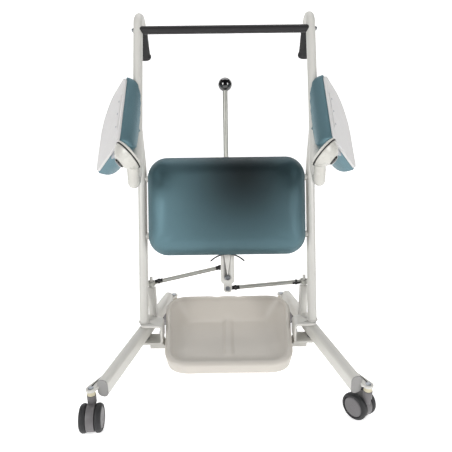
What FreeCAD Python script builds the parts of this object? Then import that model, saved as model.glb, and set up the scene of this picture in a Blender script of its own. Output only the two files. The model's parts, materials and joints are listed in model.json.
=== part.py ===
import FreeCAD, Part
import Sketcher
import math
import os

# Sit to stand lift (stand aid): a wheeled frame with two spreading legs, two leaning masts, a knee pad,
# a foot tray, a crossbar with push grips, and two seat halves that swing in behind the patient.
# +X is the patient's right hand side when facing the knee pad, +Y points to the push grips, +Z is up.
# The origin is on the floor under the middle of the whole box. Lengths are mm and angles are degrees.

Vector = FreeCAD.Vector
UP = Vector(0, 0, 1)
RIGHT = Vector(1, 0, 0)
FAR = 200.0                      # long enough for a cutting tool to pass right through any piece

SIZES = {
    # legs and their pivots
    "pivot_out": 280.0,          # leg pivot from the middle plane
    "pivot_back": -18.19,        # leg pivot along Y in the frame of the part
    "leg_spread": 13.6,          # angle of each leg from the Y axis as modelled
    "leg_width": 32.0,
    "leg_height": 54.0,
    "leg_bottom": 88.0,
    "leg_rear": 312.0,           # pivot to the rear end, along the leg
    "leg_front": 240.0,
    "leg_edge": 14.0,
    # brackets that hold the legs, masts and tray
    "plate": 8.0,
    "plate_bend": 14.0,          # outer radius where the web turns into a plate
    "plate_corner": 14.0,
    "bracket_bottom": 79.0,
    "bracket_gap": 56.0,
    "bracket_depth": 60.0,
    "bracket_in": 217.0,         # inner face of the web from the middle plane
    "bracket_out": 290.0,
    "washer_dia": 28.0,
    "play": 0.3,                 # gap beside a part that turns
    "pin_play": 0.05,            # radial gap of a pin in its bore
    "beam_top": 73.0,            # crossbeam that runs under the tray's floor
    "beam_height": 12.0,
    "beam_depth": 44.0,
    "beam_lap": 45.0,            # length of each pad that carries a bracket
    "pin_dia": 12.0,
    # tubes
    "tube_dia": 30.0,
    "tube_wall": 2.5,
    "mast_lean": 19.0,
    "mast_straight": 505.0,      # along the mast, up to its top bend corner
    "mast_bend": 120.0,
    "mast_top_lean": -14.0,
    "mast_top": 143.0,           # from the bend corner up to the weld
    "arm_height": 628.0,         # seat arm centre line above the floor
    "arm_end": -6.0,             # elbow corner, from the leg pivot along Y
    "handle_lean": 24.1,
    "handle_foot": 65.5,         # where the handle line meets the arm line, from the leg pivot
    "handle_length": 591.0,      # along the handle line, up to its top bend corner
    "handle_bend": 42.0,
    "elbow_bend": 60.0,
    "grip_lean": 24.8,
    "grip_start": 94.0,          # top bend corner to the grip, along the tube end
    "grip_length": 114.0,
    "grip_dia": 35.0,
    "flare_dia": 42.0,
    # crossbar
    "crossbar_up": 482.0,        # along the handle line
    "crossbar_dia": 20.0,
    "sleeve_dia": 26.0,
    "bolt_dia": 8.0,
    # knee pad
    "knee_low": 220.0,           # along the mast
    "knee_high": 542.0,
    "knee_width": 517.0,
    "knee_back": 23.0,           # cushion back in front of the mast plane
    "knee_thick": 46.0,
    "knee_corner": 66.0,
    "board_thick": 11.5,
    "board_inset": 12.0,
    "rail_dia": 22.0,
    "rail_low": 285.0,
    "rail_high": 475.0,
    # leg spreading lever
    "lever_pivot": 142.0,        # along the mast
    "lever_arm": 38.0,
    "lever_tab_width": 28.0,
    "lever_tab_thick": 6.0,
    "lever_plane": -17.0,        # front face of the tab behind the mast plane
    "lever_rod_dia": 16.0,
    "knob_dia": 47.0,
    "knob_at": 795.0,
    "bracket_plate_width": 46.0,
    "bracket_plate_thick": 5.0,
    "quadrant_dia": 158.0,
    "quadrant_wire": 5.0,
    "quadrant_half": 46.0,
    "rod_dia": 13.5,
    "rod_plane": -32.0,
    "post_along": 73.0,          # along the leg, forward of the pivot
    "post_in": 4.0,
    "post_width": 24.0,
    "post_depth": 18.0,
    "post_top": 243.0,
    "post_pin": 10.0,
    "eye_play": 4.8,             # radial room of each rod's outer eye round its post pin
    "rod_eye": 28.0,
    "rod_pin_height": 258.5,
    # foot tray
    "tray_floor": 80.0,
    "tray_bottom": 62.0,
    "tray_front_rim": 108.0,     # rim height at the patient's heels
    "tray_far_rim": 155.0,
    "tray_near": -180.0,         # from the leg pivot along Y
    "tray_far": 178.0,
    # seat hinge and seat halves (right half, given in the closed position)
    "hinge_out": 289.0,
    "hinge_along": -16.0,
    "hinge_up": 713.5,
    "hinge_yaw": 30.5,
    "hinge_dip": 34.0,
    "seat_swing": 189.0,
    "ring_dia": 97.0,
    "dome_height": 34.0,
    "flange_thick": 8.0,
    "hinge_pin_dia": 16.0,
    "cap_dia": 30.0,
    "stub_dia": 36.0,
    "seat_in": 5.0,
    "seat_out": 257.0,
    "seat_front": -18.0,
    "seat_rear": -226.0,
    "seat_under": 677.0,
    "seat_plate_thick": 7.0,
    "seat_cushion_thick": 45.0,
    "cushion_room": 3.0,         # gap between the open cushion and the frame tubes
    "seat_corner": 26.0,
    "seat_rear_corner": 110.0,
    # casters
    "wheel_dia": 80.0,
    "caster_trail": 25.0,
    "hub_dia": 60.0,
    "wheel_in": 12.0,            # inner and outer face of each wheel from the caster's middle
    "wheel_out": 30.5,
    "hood_dia": 76.0,
    "hood_half": 11.0,
    "hood_wall": 3.5,
    "hood_low": 16.0,            # lower edge of the hood above the floor
    "neck_dia": 26.0,
    "axle_dia": 8.0,
    "stem_dia": 12.0,
    "caster_rear_out": 385.5,
    "caster_rear_along": -308.0,
    "caster_front_out": 206.0,
    "caster_front_along": 262.0,
    "bar_thick": 8.0,
    "bar_width": 28.0,
    "bar_bottom": 111.0,
    "neck_top": 98.1,            # top of each caster's neck, just below its stem's shoulder
    "spacer_dia": 20.0,
    "screw_dia": 10.0,
}

doc = FreeCAD.newDocument("sit_to_stand_lift")
sheet = doc.addObject("Spreadsheet::Sheet", "Sizes")
for row, (alias, number) in enumerate(SIZES.items(), start=1):
    sheet.set(f"A{row}", alias)
    sheet.set(f"B{row}", str(number))
    sheet.setAlias(f"B{row}", alias)
doc.recompute()


class Size:
    """A length that carries both its number and the spreadsheet expression that gives it."""

    def __init__(self, value, text):
        self.value = float(value)
        self.text = text

    def __add__(self, other):
        other = size(other)
        return Size(self.value + other.value, f"({self.text} + {other.text})")

    def __sub__(self, other):
        other = size(other)
        return Size(self.value - other.value, f"({self.text} - {other.text})")

    def __mul__(self, factor):
        return Size(self.value * factor, f"({self.text} * {factor})")

    def __truediv__(self, factor):
        return Size(self.value / factor, f"({self.text} / {factor})")

    def __neg__(self):
        return Size(-self.value, f"(0 - {self.text})")

    def __float__(self):
        return self.value


def size(number):
    """A plain number or a Size, as a Size."""
    if isinstance(number, Size):
        return number
    return Size(number, f"({float(number)})")


def cell(alias):
    """The Size of one spreadsheet cell."""
    return Size(sheet.get(alias), f"Sizes.{alias}")


def val(alias):
    """The number in one spreadsheet cell."""
    return float(sheet.get(alias))


PARTS = {}                       # node name to document object


def keep(item, label):
    """Name an object as one sub-part of the finished model."""
    item.Label = label
    PARTS[label] = item
    return item


def bind(item, **sizes):
    """Bind properties of an object to the spreadsheet."""
    for name, amount in sizes.items():
        item.setExpression(name, size(amount).text)


def place(item, at=Vector(0, 0, 0), z_axis=UP, x_axis=RIGHT):
    """Put an object's own Z and X axes along two directions, with its origin at a point."""
    y_axis = z_axis.cross(x_axis)
    item.Placement = FreeCAD.Placement(at, FreeCAD.Rotation(x_axis, y_axis, z_axis, "ZXY"))
    return item


def cylinder(radius, height, at=Vector(0, 0, 0), z_axis=UP, x_axis=RIGHT):
    item = doc.addObject("Part::Cylinder", "Cylinder")
    bind(item, Radius=radius, Height=height)
    return place(item, at, z_axis, x_axis)


def sphere(radius, at=Vector(0, 0, 0)):
    item = doc.addObject("Part::Sphere", "Sphere")
    bind(item, Radius=radius)
    return place(item, at)


def box(length, width, height, at=Vector(0, 0, 0), z_axis=UP, x_axis=RIGHT):
    """A box whose origin is its lowest corner."""
    item = doc.addObject("Part::Box", "Box")
    bind(item, Length=length, Width=width, Height=height)
    return place(item, at, z_axis, x_axis)


def cut(base, *tools):
    for tool in tools:
        item = doc.addObject("Part::Cut", "Cut")
        item.Base = base
        item.Tool = tool
        base = item
    return base


def fuse(*items):
    item = doc.addObject("Part::MultiFuse", "Fusion")
    item.Shapes = list(items)
    item.Refine = True
    return item


def common(first, second):
    item = doc.addObject("Part::Common", "Common")
    item.Base = first
    item.Tool = second
    return item


def group(*items):
    """Separate solids that share one node."""
    item = doc.addObject("Part::Compound", "Group")
    item.Links = list(items)
    return item


def copy_of(item):
    """The same object's shape again, for use as a second tool."""
    return group(item)


def mirrored(item):
    """The other side's piece, through the middle plane."""
    mirror = doc.addObject("Part::Mirroring", "Mirrored")
    mirror.Source = item
    mirror.Normal = RIGHT
    return mirror


def keep_pair(item, name):
    """Keep the right hand piece and its mirror image as two nodes."""
    keep(item, f"{name}_right")
    keep(mirrored(item), f"{name}_left")
    return item


def origin_plane(body, role):
    for feature in body.Origin.OriginFeatures:
        if feature.Role == role:
            return feature
    raise ValueError(role)


def outline(body, role, corners):
    """A closed sketch of straight lines, each corner's two coordinates bound to the spreadsheet."""
    sketch = body.newObject("Sketcher::SketchObject", "Outline")
    sketch.AttachmentSupport = [(origin_plane(body, role), "")]
    sketch.MapMode = "FlatFace"
    corners = [(size(across), size(up)) for across, up in corners]
    points = [Vector(across.value, up.value, 0) for across, up in corners]
    count = len(points)
    for index in range(count):
        sketch.addGeometry(Part.LineSegment(points[index], points[(index + 1) % count]), False)
    for index in range(count):
        sketch.addConstraint(Sketcher.Constraint("Coincident", index, 2, (index + 1) % count, 1))
    for index, (across, up) in enumerate(corners):
        for kind, amount in (("DistanceX", across), ("DistanceY", up)):
            number = sketch.addConstraint(Sketcher.Constraint(kind, -1, 1, index, 1, amount.value))
            sketch.setExpression(f"Constraints[{number}]", amount.text)
    return sketch


def turned(corners):
    """A PartDesign body turned about its own Z axis from corners (radius, height)."""
    body = doc.addObject("PartDesign::Body", "Turned")
    sketch = outline(body, "XZ_Plane", corners)
    turn = body.newObject("PartDesign::Revolution", "Turn")
    turn.Profile = sketch
    turn.ReferenceAxis = (sketch, ["V_Axis"])
    turn.Angle = 360.0
    body.Tip = turn
    return body


def padded(corners, height):
    """A PartDesign body whose outline in its own XY plane is raised along Z."""
    body = doc.addObject("PartDesign::Body", "Padded")
    sketch = outline(body, "XY_Plane", corners)
    pad = body.newObject("PartDesign::Pad", "Pad")
    pad.Profile = sketch
    bind(pad, Length=height)
    body.Tip = pad
    return body


def rounded(body, radius, chooses):
    """Round the edges of a body that a test picks, given each edge's two ends."""
    doc.recompute()
    solid = body.Tip
    names = []
    for index, edge in enumerate(solid.Shape.Edges, start=1):
        start = edge.firstVertex(True).Point
        end = edge.lastVertex(True).Point
        if chooses(start, end):
            names.append(f"Edge{index}")
    fillet = body.newObject("PartDesign::Fillet", "Round")
    fillet.Base = (solid, names)
    bind(fillet, Radius=radius)
    body.Tip = fillet
    return body


def is_upright(start, end):
    return abs(start.x - end.x) < 0.01 and abs(start.y - end.y) < 0.01 and abs(start.z - end.z) > 0.01


def rectangle(x_low, x_high, y_low, y_high):
    return [(x_low, y_low), (x_high, y_low), (x_high, y_high), (x_low, y_high)]


def path_wire(points, radii):
    """Straight runs between points, joined by tangent arcs of the given radii."""
    edges = []
    start = points[0]
    for before, corner, after, radius in zip(points, points[1:], points[2:], radii):
        toward = (corner - before).normalize()
        away = (after - corner).normalize()
        half_turn = toward.getAngle(away) / 2
        reach = radius * math.tan(half_turn)
        first = corner - toward * reach
        last = corner + away * reach
        bisector = (away - toward).normalize()
        centre = corner + bisector * (radius / math.cos(half_turn))
        middle = centre - bisector * radius
        edges.append(Part.LineSegment(start, first).toShape())
        edges.append(Part.Arc(first, middle, last).toShape())
        start = last
    edges.append(Part.LineSegment(start, points[-1]).toShape())
    return Part.Wire(edges)


def swept(points, radii, diameter):
    """A round bar along a bent path, as a Part::Sweep of a circle."""
    wire = path_wire(points, radii)
    spine = doc.addObject("Part::Feature", "Path")
    spine.Shape = wire
    circle = doc.addObject("Part::Circle", "Section")
    bind(circle, Radius=size(diameter) / 2)
    along = (points[1] - points[0]).normalize()
    side = along.cross(RIGHT)
    if side.Length < 0.1:
        side = along.cross(UP)
    side = side.normalize()
    place(circle, points[0], along, side)
    sweep = doc.addObject("Part::Sweep", "Sweep")
    sweep.Sections = [circle]
    sweep.Spine = (spine, [f"Edge{number}" for number in range(1, len(wire.Edges) + 1)])
    sweep.Solid = True
    sweep.Frenet = False
    return sweep


def along_y(distance):
    """A distance from the leg pivots along Y, in the frame of the part."""
    return val("pivot_back") + distance


# Directions that several pieces share.
lean = math.radians(val("mast_lean"))
MAST_UP = Vector(0, math.sin(lean), math.cos(lean))
MAST_FRONT = Vector(0, -math.cos(lean), math.sin(lean))
MAST_FOOT = Vector(0, along_y(0), val("bracket_bottom") + val("plate") * 2 + val("bracket_gap"))


def on_mast(across, up, front):
    """A point given across, along the masts from their feet, and in front of the mast plane."""
    return MAST_FOOT + RIGHT * across + MAST_UP * up + MAST_FRONT * front


spread = math.radians(val("leg_spread"))
LEG_FORWARD = Vector(-math.sin(spread), math.cos(spread), 0)
LEG_OUTWARD = Vector(math.cos(spread), math.sin(spread), 0)
PIVOT = Vector(val("pivot_out"), along_y(0), 0)


def on_leg(forward, outward, up):
    """A point given along the right leg from its pivot, outward from its middle, and above the floor."""
    return PIVOT + LEG_FORWARD * forward + LEG_OUTWARD * outward + UP * up


# ---------------------------------------------------------------- legs


def make_legs():
    """Leg tubes with a pivot bore, link posts, caster bars and stems. Right side, then mirrored."""
    half = cell("leg_width") / 2
    section = rectangle(-half, half, cell("leg_bottom"), cell("leg_bottom") + cell("leg_height"))
    tube = padded(section, cell("leg_rear") + cell("leg_front"))
    rounded(tube, cell("leg_edge"), is_upright)
    place(tube, on_leg(-val("leg_rear"), 0, 0), LEG_FORWARD, LEG_OUTWARD * -1)
    bore = cylinder(cell("pin_dia") / 2 + cell("pin_play"), FAR, PIVOT)
    keep_pair(cut(tube, bore), "leg")

    sunk = 24
    post_foot = on_leg(val("post_along"), -val("post_in"), val("leg_bottom") + sunk)
    corner = post_foot - LEG_OUTWARD * (val("post_width") / 2) - LEG_FORWARD * (val("post_depth") / 2)
    column = box(cell("post_width"), cell("post_depth"), cell("post_top") - cell("leg_bottom") - sunk,
                 corner, UP, LEG_OUTWARD)
    pin_foot = Vector(post_foot.x, post_foot.y, val("post_top") - 10)
    pin = cylinder(cell("post_pin") / 2, 48, pin_foot)
    keep_pair(cut(fuse(column, pin), copy_of(tube)), "link_post")

    bar_starts = {
        "rear": on_leg(-val("leg_rear") + 47, 11.5, 0),
        "front": on_leg(val("leg_front") - 4, 0, 0),
    }
    bars = []
    stems = []
    for caster in CASTERS:
        axis = CASTERS[caster]
        inner = bar_starts[caster]
        away = axis - inner
        reach = away.Length
        away.normalize()
        side = UP.cross(away)
        start = inner - side * (val("bar_width") / 2) + UP * val("bar_bottom")
        strip = box(reach, cell("bar_width"), cell("bar_thick"), start, UP, away)
        end = cylinder(cell("bar_width") / 2, cell("bar_thick"), axis + UP * val("bar_bottom"))
        hole = cylinder(cell("screw_dia") / 2, FAR, axis)
        bars.append(cut(fuse(strip, end), copy_of(tube), hole))
        stems.append(make_stem(axis))
    keep_pair(group(*bars), "caster_bars")
    keep_pair(group(*stems), "caster_stems")


def make_stem(axis):
    """The shouldered bolt that a caster swivels on, with its head above the bar."""
    bar_bottom = cell("bar_bottom")
    bar_top = bar_bottom + cell("bar_thick")
    shoulder = cell("neck_top") + 0.4
    foot = cell("neck_top") - 14.1
    radius = cell("stem_dia") / 2
    spacer = cell("spacer_dia") / 2
    screw = cell("screw_dia") / 2
    head = bar_top + 2
    stem = turned([(0, foot), (radius, foot), (radius, shoulder), (spacer, shoulder), (spacer, bar_bottom),
                   (screw, bar_bottom), (screw, bar_top), (8, bar_top), (8, bar_top + 1), (6, head),
                   (0, head)])
    return place(stem, axis)


CASTERS = {
    "rear": Vector(val("caster_rear_out"), along_y(val("caster_rear_along")), 0),
    "front": Vector(val("caster_front_out"), along_y(val("caster_front_along")), 0),
}

# Direction that each wheel trails in, as modelled: a rest position between pushes.
CASTER_TRAILS = {
    "rear_right": 127.5,
    "rear_left": -87.0,
    "front_right": -62.0,
    "front_left": -118.0,
}


def make_hood(centre, axis, trail, axle):
    """A hollow shell between the wheels, open below and in a V at the trailing side, with the neck on top."""
    radius = cell("hood_dia") / 2
    half = cell("hood_half")
    wall = cell("hood_wall")
    shell = cylinder(radius, half * 2, centre - axle * half.value, axle, UP)
    cavity = cylinder(radius - wall, (half - wall) * 2, centre - axle * (half - wall).value, axle, UP)
    boss = cylinder(cell("axle_dia"), half * 2, centre - axle * half.value, axle, UP)
    low_corner = Vector(centre.x, centre.y, val("hood_low") - FAR) + axle * (FAR / 2) - trail * (FAR / 2)
    low = box(FAR, FAR, FAR, low_corner, UP, trail)

    slot_half = half - wall
    slot = padded([(-slot_half, val("hood_low") - 20), (slot_half, val("hood_low") - 20), (0, 64)], 80)
    place(slot, Vector(centre.x, centre.y, 0) + trail * (val("axle_dia") + 4), trail, axle)

    narrow = cylinder(half - 0.2, 40, axis + UP * 56)
    neck = cylinder(cell("neck_dia") / 2, cell("neck_top") - 75, axis + UP * 75)
    stem_bore = cylinder(cell("stem_dia") / 2 + cell("pin_play"), 60, axis + UP * (val("neck_top") - 14.4))
    axle_bore = cylinder(cell("axle_dia") / 2 + cell("pin_play"), 80, centre - axle * 40, axle, UP)
    return cut(fuse(cut(shell, cavity, low, slot), boss, narrow, neck), stem_bore, axle_bore)


def make_caster(name, axis, trail_angle):
    """One twin wheel caster: a hood between the wheels, two tyres, and hubs on one axle."""
    turn = math.radians(trail_angle)
    trail = Vector(math.cos(turn), math.sin(turn), 0)
    axle = trail.cross(UP)
    tread = cell("wheel_dia") / 2
    centre = axis + trail * val("caster_trail") + UP * tread.value
    keep(make_hood(centre, axis, trail, axle), f"caster_hood_{name}")

    tyres = []
    near = cell("wheel_in")
    far = cell("wheel_out")
    hub = cell("hub_dia") / 2
    hubs = [cylinder(cell("axle_dia") / 2, near * 2 + 4, centre - axle * (near.value + 2), axle, UP)]
    for side in (1, -1):
        tyre = turned([(hub, near), (tread - 3, near), (tread, near + 3), (tread, far - 5),
                       (tread - 2, far - 2), (tread - 5, far), (hub, far - 1)])
        tyres.append(place(tyre, centre, axle * side, UP))
        disc = turned([(0, near + 1), (hub, near + 1), (hub, far - 2), (hub - 4, far - 1), (0, far - 1)])
        hubs.append(place(disc, centre, axle * side, UP))
    keep(group(*tyres), f"caster_tyres_{name}")
    keep(fuse(*hubs), f"caster_hubs_{name}")


# ---------------------------------------------------------------- chassis


def make_brackets():
    """Bent C brackets that hold each leg between two plates, the crossbeam, pins and washers."""
    bottom = cell("bracket_bottom")
    plate = cell("plate")
    top = bottom + plate * 2 + cell("bracket_gap")
    depth = cell("bracket_depth")
    inner = cell("bracket_in")
    outer = cell("bracket_out")
    profile = [(inner, bottom), (outer, bottom), (outer, bottom + plate), (inner + plate, bottom + plate),
               (inner + plate, top - plate), (outer, top - plate), (outer, top), (inner, top)]
    bracket = padded(profile, depth)
    low = val("bracket_in") + 1
    corner = val("bracket_out") - 1

    def is_outer_bend(start, end):
        return abs(start.z - end.z) > 1 and max(start.x, end.x) < low

    def is_inner_bend(start, end):
        return abs(start.z - end.z) > 1 and low < min(start.x, end.x) and max(start.x, end.x) < corner

    def is_plate_corner(start, end):
        return abs(start.y - end.y) > 1 and min(start.x, end.x) > corner

    rounded(bracket, cell("plate_bend"), is_outer_bend)
    rounded(bracket, cell("plate_bend") - plate, is_inner_bend)
    rounded(bracket, cell("plate_corner"), is_plate_corner)
    place(bracket, Vector(0, along_y(0) + val("bracket_depth") / 2, 0), Vector(0, -1, 0), RIGHT)
    hole = cylinder(cell("pin_dia") / 2, FAR, PIVOT)
    keep_pair(cut(bracket, hole), "leg_bracket")

    beam_top = val("beam_top")
    lap = cell("beam_lap")
    reach = inner + lap
    beam_foot = Vector(-reach.value, along_y(0) - val("beam_depth") / 2, beam_top - val("beam_height"))
    beam = box(reach * 2, cell("beam_depth"), cell("beam_height"), beam_foot)
    wall = cell("tube_wall")
    inside = box(reach * 2, cell("beam_depth") - wall * 2, cell("beam_height") - wall * 2,
                 beam_foot + Vector(0, wall.value, wall.value))
    pads = []
    for pad_start in (-reach.value, val("bracket_in")):
        pad_foot = Vector(pad_start, beam_foot.y, beam_top)
        pads.append(box(lap, cell("beam_depth"), bottom - cell("beam_top"), pad_foot))
    keep(fuse(cut(beam, inside), *pads), "base_crossbeam")

    pieces = []
    radius = cell("pin_dia") / 2
    washer = cell("washer_dia") / 2
    play = cell("play")
    leg_top = cell("leg_bottom") + cell("leg_height")
    spacers = [(bottom + plate, cell("leg_bottom") - play), (leg_top + play, top - plate)]
    for side in (1, -1):
        foot = Vector(side * PIVOT.x, PIVOT.y, 0)
        pin = turned([(0, bottom - 5), (13, bottom - 5), (13, bottom), (radius, bottom), (radius, top - 0.5),
                      (0, top - 0.5)])
        pieces.append(place(pin, foot))
        for low_face, high_face in spacers:
            spacer = turned(rectangle(radius, washer, low_face, high_face))
            pieces.append(place(spacer, foot))
    keep(group(*pieces), "leg_pivot_pins")


def handle_point(up):
    """A point on the right handle tube's lower straight line, along it from the arm line."""
    tilt = math.radians(val("handle_lean"))
    foot = Vector(val("pivot_out"), along_y(val("handle_foot")), val("arm_height"))
    return foot + Vector(0, math.sin(tilt), math.cos(tilt)) * up


def make_tubes():
    """Masts, and the upper tubes that run from the seat arm over the top bend to the push grips."""
    tilt = math.radians(val("grip_lean"))
    top = handle_point(val("handle_length"))
    down = Vector(0, math.sin(tilt), -math.cos(tilt))
    tube_end = top + down * (val("grip_start") + val("grip_length") - 6)
    arm_end = Vector(val("pivot_out"), along_y(val("arm_end")) + 4, val("arm_height"))
    corner = handle_point(0)
    run = [arm_end, corner, top, tube_end]
    bends = [val("elbow_bend"), val("handle_bend")]
    bore = cell("tube_dia") - cell("tube_wall") * 2
    outer = swept(run, bends, cell("tube_dia"))
    hollow = swept(run, bends, bore)

    crossbar = handle_point(val("crossbar_up"))
    bolt_hole = cylinder(cell("bolt_dia") / 2, 120, crossbar - RIGHT * 60, RIGHT, UP)
    keep_pair(cut(outer, hollow, bolt_hole), "upper_tube")

    top_lean = math.radians(val("mast_top_lean"))
    knee = on_mast(val("pivot_out"), val("mast_straight"), 0)
    upward = Vector(0, math.sin(top_lean), math.cos(top_lean))
    weld = knee + upward * val("mast_top")
    foot = on_mast(val("pivot_out"), -12, 0)
    mast_outer = swept([foot, knee, weld], [val("mast_bend")], cell("tube_dia"))
    mast_inner = swept([foot, knee, weld], [val("mast_bend")], bore)
    ground = box(100, 100, 60, Vector(val("pivot_out") - 50, foot.y - 50, MAST_FOOT.z - 60))
    keep_pair(cut(mast_outer, mast_inner, ground, copy_of(outer)), "mast")

    room_dia = cell("tube_dia") + cell("cushion_room") * 2
    past_weld = weld + upward * val("tube_dia")
    rooms = [swept(run, bends, room_dia), swept([foot, knee, past_weld], [val("mast_bend")], room_dia)]

    grips = []
    for side in (1, -1):
        start = top + down * (val("grip_start"))
        start = Vector(start.x * side, start.y, start.z)
        inner = cell("tube_dia") / 2
        body = cell("grip_dia") / 2
        flare = cell("flare_dia") / 2
        length = cell("grip_length")
        grip = turned([(inner, 0), (body - 0.5, 0), (body, 2), (body, length - 22),
                       (flare - 1.5, length - 13), (flare, length - 10), (flare, length - 6),
                       (body + 1, length - 1), (body - 3, length),
                       (0, length), (0, length - 6), (inner, length - 6)])
        grips.append(place(grip, start, down, RIGHT))
    keep(group(*grips), "push_grips")
    return outer, mast_outer, rooms


def make_crossbar(tube):
    """A steel bar with a rubber sleeve between the upper tubes, and a bolt through each tube into it."""
    middle = handle_point(val("crossbar_up"))
    reach = val("pivot_out")
    start = Vector(-reach, middle.y, middle.z)
    other = mirrored(tube)
    core = cylinder(cell("crossbar_dia") / 2, reach * 2, start, RIGHT, UP)
    sleeve = cylinder(cell("sleeve_dia") / 2, reach * 2, start, RIGHT, UP)
    bore = cylinder(cell("crossbar_dia") / 2, reach * 2, start, RIGHT, UP)
    threads = []
    bolts = []
    for side in (1, -1):
        axis = RIGHT * side
        centre = Vector(side * reach, middle.y, middle.z)
        depth = 38
        threads.append(cylinder(cell("bolt_dia") / 2, 60, centre - axis * depth, axis, UP))
        bolt = turned([(0, 0), (cell("bolt_dia") / 2, 0), (cell("bolt_dia") / 2, depth + val("tube_dia") / 2),
                       (7, depth + val("tube_dia") / 2), (7, depth + val("tube_dia") / 2 + 2),
                       (4.5, depth + val("tube_dia") / 2 + 5), (0, depth + val("tube_dia") / 2 + 5)])
        bolts.append(place(bolt, centre - axis * depth, axis, UP))
    keep(cut(core, copy_of(tube), other, *threads), "crossbar_tube")
    keep(cut(sleeve, bore, copy_of(tube), copy_of(other)), "crossbar_sleeve")
    keep(group(*bolts), "crossbar_bolts")


# ---------------------------------------------------------------- knee pad


def make_knee_pad(mast):
    """A padded cushion on a board, on two rails between the masts. The pad lies in the mast plane."""
    half = cell("knee_width") / 2
    corner = cell("knee_corner")
    cushion = padded(rectangle(-half, half, cell("knee_low"), cell("knee_high")), cell("knee_thick"))
    rounded(cushion, corner, is_upright)
    front_face = val("knee_thick")
    rounded(cushion, 17, lambda start, end: min(start.z, end.z) > front_face - 0.01)
    keep(place(cushion, on_mast(0, 0, val("knee_back")), MAST_FRONT, RIGHT), "knee_pad_cushion")

    inset = cell("board_inset")
    board_edges = rectangle(-half + inset, half - inset, cell("knee_low") + inset, cell("knee_high") - inset)
    board = padded(board_edges, cell("board_thick"))
    rounded(board, corner - inset, is_upright)
    board_back = on_mast(0, 0, val("knee_back") - val("board_thick"))
    keep(place(board, board_back, MAST_FRONT, RIGHT), "knee_pad_board")

    rails = []
    reach = val("pivot_out")
    for up in (val("rail_low"), val("rail_high")):
        rail = cylinder(cell("rail_dia") / 2, reach * 2, on_mast(-reach, up, 0), RIGHT, UP)
        rails.append(cut(rail, copy_of(mast), mirrored(mast)))
    keep(group(*rails), "knee_pad_rails")


# ---------------------------------------------------------------- lever and tie rods


def make_lever():
    """The bracket plate under the knee pad, the detent quadrant, and the lever with its knob."""
    width = cell("bracket_plate_width")
    thick = cell("bracket_plate_thick")
    pivot = val("lever_pivot")
    plate_back = -val("rail_dia") / 2 - val("bracket_plate_thick")
    plate = padded(rectangle(-width / 2, width / 2, cell("lever_pivot") - 22, cell("rail_low") + 4), thick)
    rounded(plate, 13, lambda start, end: is_upright(start, end) and start.y < pivot)
    place(plate, on_mast(0, 0, plate_back), MAST_FRONT, RIGHT)
    bolt_radius = 5
    hole = cylinder(bolt_radius, 40, on_mast(0, pivot, -30), MAST_FRONT, RIGHT)
    keep(cut(plate, hole), "lever_bracket")

    swing = math.radians(val("quadrant_half"))
    radius = val("quadrant_dia") / 2
    front = -val("rail_dia") / 2 + val("quadrant_wire") / 2
    ends = []
    for angle in (-swing, 0.0, swing):
        ends.append(on_mast(radius * math.sin(angle), pivot + radius * math.cos(angle), front))
    arc = Part.Arc(*ends).toShape()
    spine = doc.addObject("Part::Feature", "QuadrantPath")
    spine.Shape = Part.Wire([arc])
    circle = doc.addObject("Part::Circle", "QuadrantSection")
    bind(circle, Radius=cell("quadrant_wire") / 2)
    tangent = RIGHT * math.cos(swing) + MAST_UP * math.sin(swing)
    place(circle, ends[0], tangent, MAST_FRONT)
    quadrant = doc.addObject("Part::Sweep", "Quadrant")
    quadrant.Sections = [circle]
    quadrant.Spine = (spine, ["Edge1"])
    quadrant.Solid = True
    keep(quadrant, "detent_quadrant")

    arm = cell("lever_arm")
    tab_half = cell("lever_tab_width") / 2
    tab_back = val("lever_plane") - val("lever_tab_thick")
    tab_low = cell("lever_pivot") - arm - tab_half
    tab_high = cell("lever_pivot") + arm + 46
    tab = padded(rectangle(-tab_half, tab_half, tab_low, tab_high), cell("lever_tab_thick"))
    rounded(tab, 12, is_upright)
    place(tab, on_mast(0, 0, tab_back), MAST_FRONT, RIGHT)
    holes = [cylinder(bolt_radius + val("pin_play"), 40, on_mast(0, pivot, -40), MAST_FRONT, RIGHT)]
    for offset in (val("lever_arm"), -val("lever_arm")):
        holes.append(cylinder(bolt_radius - 1, 40, on_mast(0, pivot + offset, -40), MAST_FRONT, RIGHT))
    keep(cut(tab, *holes), "lever_tab")

    rod_centre = val("lever_plane") - val("lever_rod_dia") / 2
    rod_foot = pivot + val("lever_arm") + 20
    rod_radius = cell("lever_rod_dia") / 2
    rod = cylinder(rod_radius, cell("knob_at") - rod_foot, on_mast(0, rod_foot, rod_centre), MAST_UP, RIGHT)
    knob_centre = on_mast(0, val("knob_at"), rod_centre)
    knob = sphere(cell("knob_dia") / 2, knob_centre)
    socket = cylinder(rod_radius, 60, on_mast(0, val("knob_at") - 60, rod_centre), MAST_UP, RIGHT)
    keep(cut(rod, copy_of(tab)), "lever_rod")
    keep(cut(knob, socket), "lever_knob")

    grip_length = 12.3 + thick.value
    pivot_bolt = turned([(0, 0), (9, 0), (9, 5), (bolt_radius, 5), (bolt_radius, grip_length),
                         (9.5, grip_length), (9.5, grip_length + 3.7), (7, grip_length + 6.2),
                         (0, grip_length + 6.2)])
    keep(place(pivot_bolt, on_mast(0, pivot, tab_back - 5.3), MAST_FRONT, RIGHT), "lever_pivot_bolt")

    rod_plane = val("rod_plane")
    eye_back = rod_plane - 7
    bolts = []
    for offset, head in ((val("lever_arm"), 0.5), (-val("lever_arm"), 7.0)):
        shank = bolt_radius - 1
        base = 4 + val("lever_plane") - eye_back + 0.3
        bolt = turned([(0, 0), (8, 0), (8, 4), (shank, 4), (shank, base), (8, base), (8, base + head * 0.8),
                       (7.5, base + head), (0, base + head)])
        bolts.append(place(bolt, on_mast(0, pivot + offset, eye_back - 4.3), MAST_FRONT, RIGHT))
    return bolts


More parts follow.
